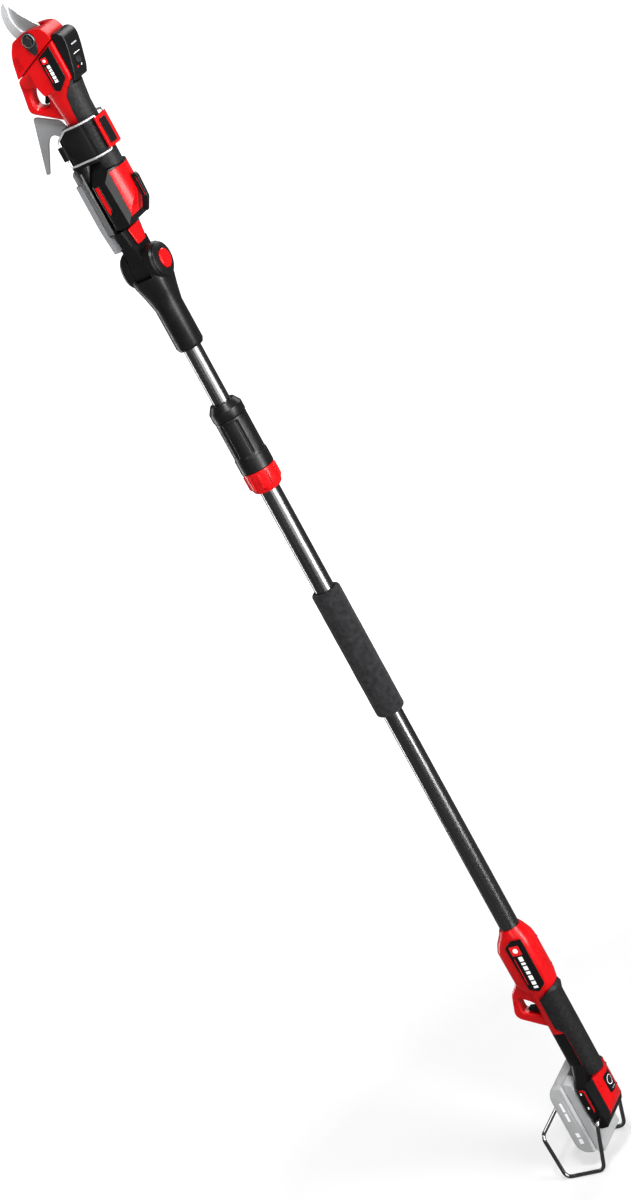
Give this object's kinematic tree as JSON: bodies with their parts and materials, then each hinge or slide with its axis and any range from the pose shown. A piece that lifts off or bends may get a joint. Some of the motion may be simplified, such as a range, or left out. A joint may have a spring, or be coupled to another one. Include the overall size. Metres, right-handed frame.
{
  "type": "telescopic pole pruner",
  "caption": "Cordless pruning shear clipped by a wire bail into a tilting cradle on a telescopic pole, with trigger handle, slide-on battery and wire stand.",
  "frame": {"origin": "middle of the rear grip, on the pole axis, where the rear hand holds the tool", "axes": "+Z along the pole towards the blades, -X towards the trigger and battery, -Y the flank with the bail pin"},
  "size_m": [0.1671, 0.1156, 1.9309],
  "materials": {
    "red_plastic": "satin gloss moulding",
    "black_plastic": "satin fine-grained moulding",
    "textured_rubber": "matte, finely textured soft overmould",
    "tube_coat": "glossy black coat on aluminium tube",
    "foam": "matte closed-cell foam",
    "grey_plastic": "fine-grained satin",
    "hook_sheet": "satin powder coat",
    "battery_plastic": "frosted pale grey",
    "bright_wire": "bright plated round wire",
    "blade_steel": "ground, lengthwise grain",
    "dark_blade_steel": "coated, dark satin",
    "machined_steel": "turned and cut steel",
    "black_steel": "black oxide",
    "white_nylon": "natural nylon",
    "circuit_board": "green lacquer",
    "cable_jacket": "satin cable jacket"
  },
  "bodies": {
    "handle": {"rear_housing_near": "red_plastic", "rear_housing_far": "red_plastic", "rear_grip_rubber": "textured_rubber", "rear_label_plate": "black_plastic", "foot_shell_near": "black_plastic", "foot_shell_far": "black_plastic", "foot_back_cover": "red_plastic", "power_panel": "black_plastic", "rear_switch": "black_plastic", "rear_trigger_spring": "machined_steel", "terminal_block": "black_plastic", "control_board": "circuit_board", "wire_stand": "bright_wire", "lower_tube": "tube_coat", "foam_grip": "foam", "collar_sleeve": "black_plastic", "collar_cap": "black_plastic", "clamp_collet": "white_nylon", "pole_cable": "cable_jacket"},
    "lock": {"lock_ring": "red_plastic"},
    "trigger": {"rear_trigger": "black_plastic"},
    "power_key": {"power_button": "textured_rubber"},
    "battery": {"battery_case": "battery_plastic", "battery_rail_cover": "battery_plastic"},
    "battery_key": {"battery_release": "red_plastic"},
    "boom": {"upper_tube": "tube_coat", "tube_glide_bush": "white_nylon", "yoke": "black_plastic", "yoke_cheek_right": "black_plastic", "yoke_cheek_left": "black_plastic", "pivot_axle": "machined_steel", "pivot_button_spring": "machined_steel"},
    "tilt_key": {"pivot_button": "red_plastic"},
    "head": {"cradle_neck": "black_plastic", "tilt_ratchet": "machined_steel", "cradle_shell": "black_plastic", "cradle_spine_cover": "grey_plastic", "branch_hook": "hook_sheet", "wire_keeper": "bright_wire", "pruner_shell_near": "red_plastic", "pruner_shell_far": "red_plastic", "pruner_gear_cover": "red_plastic", "pruner_grip_rubber": "textured_rubber", "pruner_back_panel": "black_plastic", "pruner_label_plate": "black_plastic", "pruner_foot_shell": "black_plastic", "pruner_foot_cover": "red_plastic", "belt_hook": "black_plastic", "counter_blade": "blade_steel", "pivot_bolt": "black_steel", "lock_plate": "black_steel", "pruner_motor": "machined_steel"},
    "latch": {"cradle_latch": "red_plastic"},
    "bail": {"wire_bail": "bright_wire"},
    "lever": {"bail_lever": "red_plastic"},
    "blade": {"cutting_blade": "dark_blade_steel", "drive_segment": "machined_steel"},
    "pinion": {"drive_pinion": "machined_steel"},
    "pruner_key": {"pruner_power_button": "textured_rubber"},
    "finger_trigger": {"pruner_trigger": "black_plastic"}
  },
  "joints": [
    {"name": "boom_slide", "type": "slide", "parent": "handle", "child": "boom", "axis": [0, 0, 1], "range_m": [0, 0.5], "deforming": ["pole_cable"]},
    {"name": "lock_ring_turn", "type": "hinge", "parent": "handle", "child": "lock", "pos_m": [0, 0, 0.965], "axis": [0, 0, 1], "range_deg": [0, 90]},
    {"name": "rear_trigger_pull", "type": "slide", "parent": "handle", "child": "trigger", "axis": [1, 0, 0], "range_m": [0, 0.004], "stiffness_N_per_m": 900, "springref_m": -0.002, "deforming": ["rear_trigger_spring"]},
    {"name": "power_button_press", "type": "slide", "parent": "handle", "child": "power_key", "axis": [-1, 0, 0], "range_m": [0, 0.001], "stiffness_N_per_m": 1500, "springref_m": -0.0006},
    {"name": "battery_slide", "type": "slide", "parent": "handle", "child": "battery", "axis": [0, 0, -1], "range_m": [0, 0.08]},
    {"name": "battery_release_press", "type": "slide", "parent": "battery", "child": "battery_key", "axis": [0, 0, 1], "range_m": [0, 0.0015], "stiffness_N_per_m": 1500, "springref_m": -0.0006},
    {"name": "head_tilt", "type": "hinge", "parent": "boom", "child": "head", "pos_m": [0, 0, 1.307], "axis": [1, 0, 0], "range_deg": [-60, 60]},
    {"name": "tilt_button_press", "type": "slide", "parent": "boom", "child": "tilt_key", "axis": [-1, 0, 0], "range_m": [0, 0.004], "stiffness_N_per_m": 1500, "springref_m": -0.001, "deforming": ["pivot_button_spring"]},
    {"name": "cradle_latch_press", "type": "slide", "parent": "head", "child": "latch", "axis": [0, 0, -1], "range_m": [0, 0.004], "stiffness_N_per_m": 1200, "springref_m": -0.001},
    {"name": "bail_swing", "type": "hinge", "parent": "head", "child": "bail", "pos_m": [-0.01, -0.0305, 1.49], "axis": [0, 0, -1], "range_deg": [0, 105]},
    {"name": "bail_lever_swing", "type": "hinge", "parent": "bail", "child": "lever", "pos_m": [0.049, -0.013, 1.49], "axis": [0, 0, -1], "range_deg": [0, 110]},
    {"name": "blade_swing", "type": "hinge", "parent": "head", "child": "blade", "pos_m": [0.021, 0, 1.652], "axis": [0, 1, 0], "range_deg": [0, 34]},
    {"name": "pinion_spin", "type": "hinge", "parent": "head", "child": "pinion", "pos_m": [0.021, 0, 1.618], "axis": [0, 1, 0], "range_deg": [-175, 175]},
    {"name": "pruner_button_press", "type": "slide", "parent": "head", "child": "pruner_key", "axis": [-1, 0, 0], "range_m": [0, 0.001], "stiffness_N_per_m": 1500, "springref_m": -0.0006},
    {"name": "pruner_trigger_pull", "type": "slide", "parent": "head", "child": "finger_trigger", "axis": [1, 0, 0], "range_m": [0, 0.004], "stiffness_N_per_m": 900, "springref_m": -0.002}
  ],
  "couplings": [
    {"joint": "pinion_spin", "follows": "blade_swing", "ratio": -5}
  ]
}
